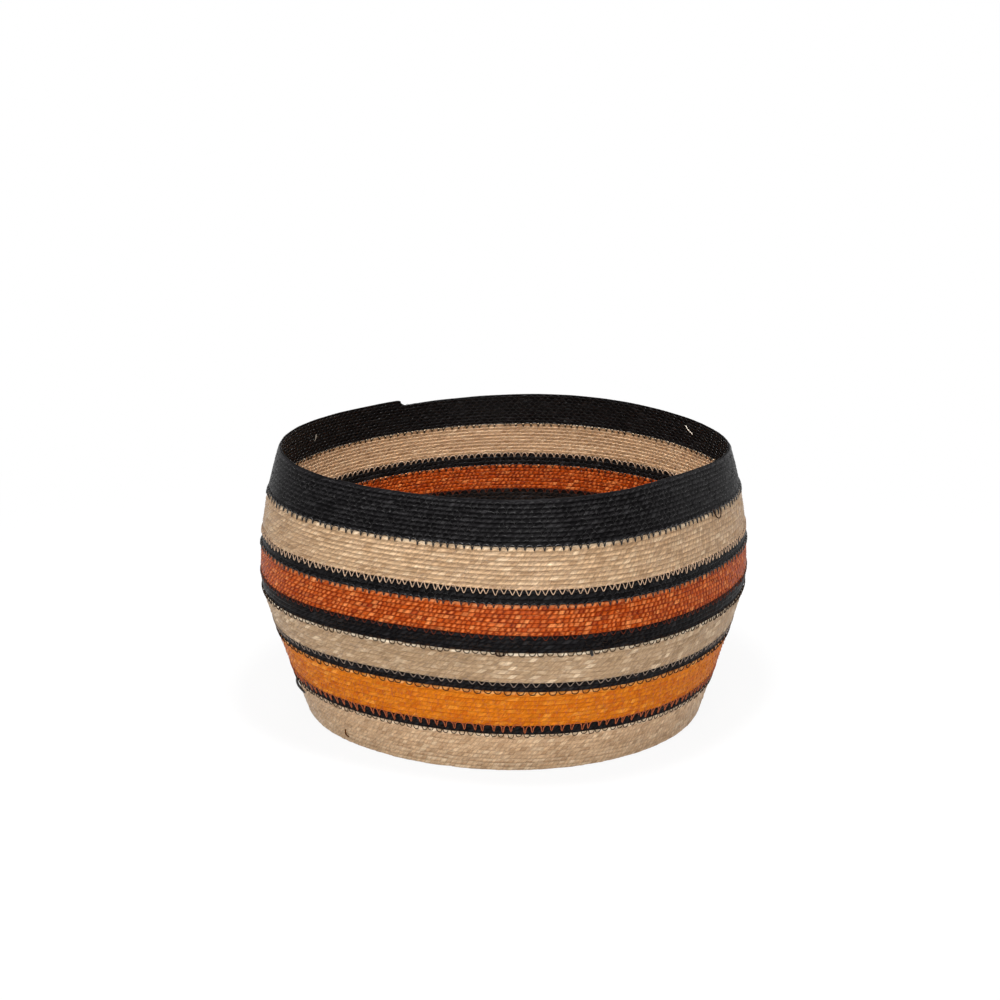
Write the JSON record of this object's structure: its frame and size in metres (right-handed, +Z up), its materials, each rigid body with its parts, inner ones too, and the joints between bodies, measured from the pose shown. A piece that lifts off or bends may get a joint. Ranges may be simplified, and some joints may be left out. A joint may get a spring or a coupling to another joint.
{
  "type": "striped seagrass basket",
  "caption": "Open round basket wound from one flat seagrass plait in lapped turns, with beige, black, amber and rust stripes and a black rim.",
  "frame": {"origin": "middle of the basket's outline, on the surface that it stands on", "axes": "+Z up through the open mouth, -Y towards the picture's viewer, +X to the viewer's right"},
  "size_m": [0.3228, 0.3152, 0.1825],
  "materials": {
    "natural_seagrass": "dry plaited grass, undyed, satin",
    "black_seagrass": "dry plaited grass, dyed black, satin",
    "amber_seagrass": "dry plaited grass, dyed amber, satin",
    "rust_seagrass": "dry plaited grass, dyed rust, satin"
  },
  "bodies": {
    "root": {"base_spiral": "natural_seagrass", "natural_band_low": "natural_seagrass", "black_band_1": "black_seagrass", "amber_band": "amber_seagrass", "black_band_2": "black_seagrass", "natural_band_mid": "natural_seagrass", "black_band_3": "black_seagrass", "rust_band": "rust_seagrass", "black_band_4": "black_seagrass", "natural_band_top": "natural_seagrass", "black_rim": "black_seagrass"}
  },
  "joints": []
}
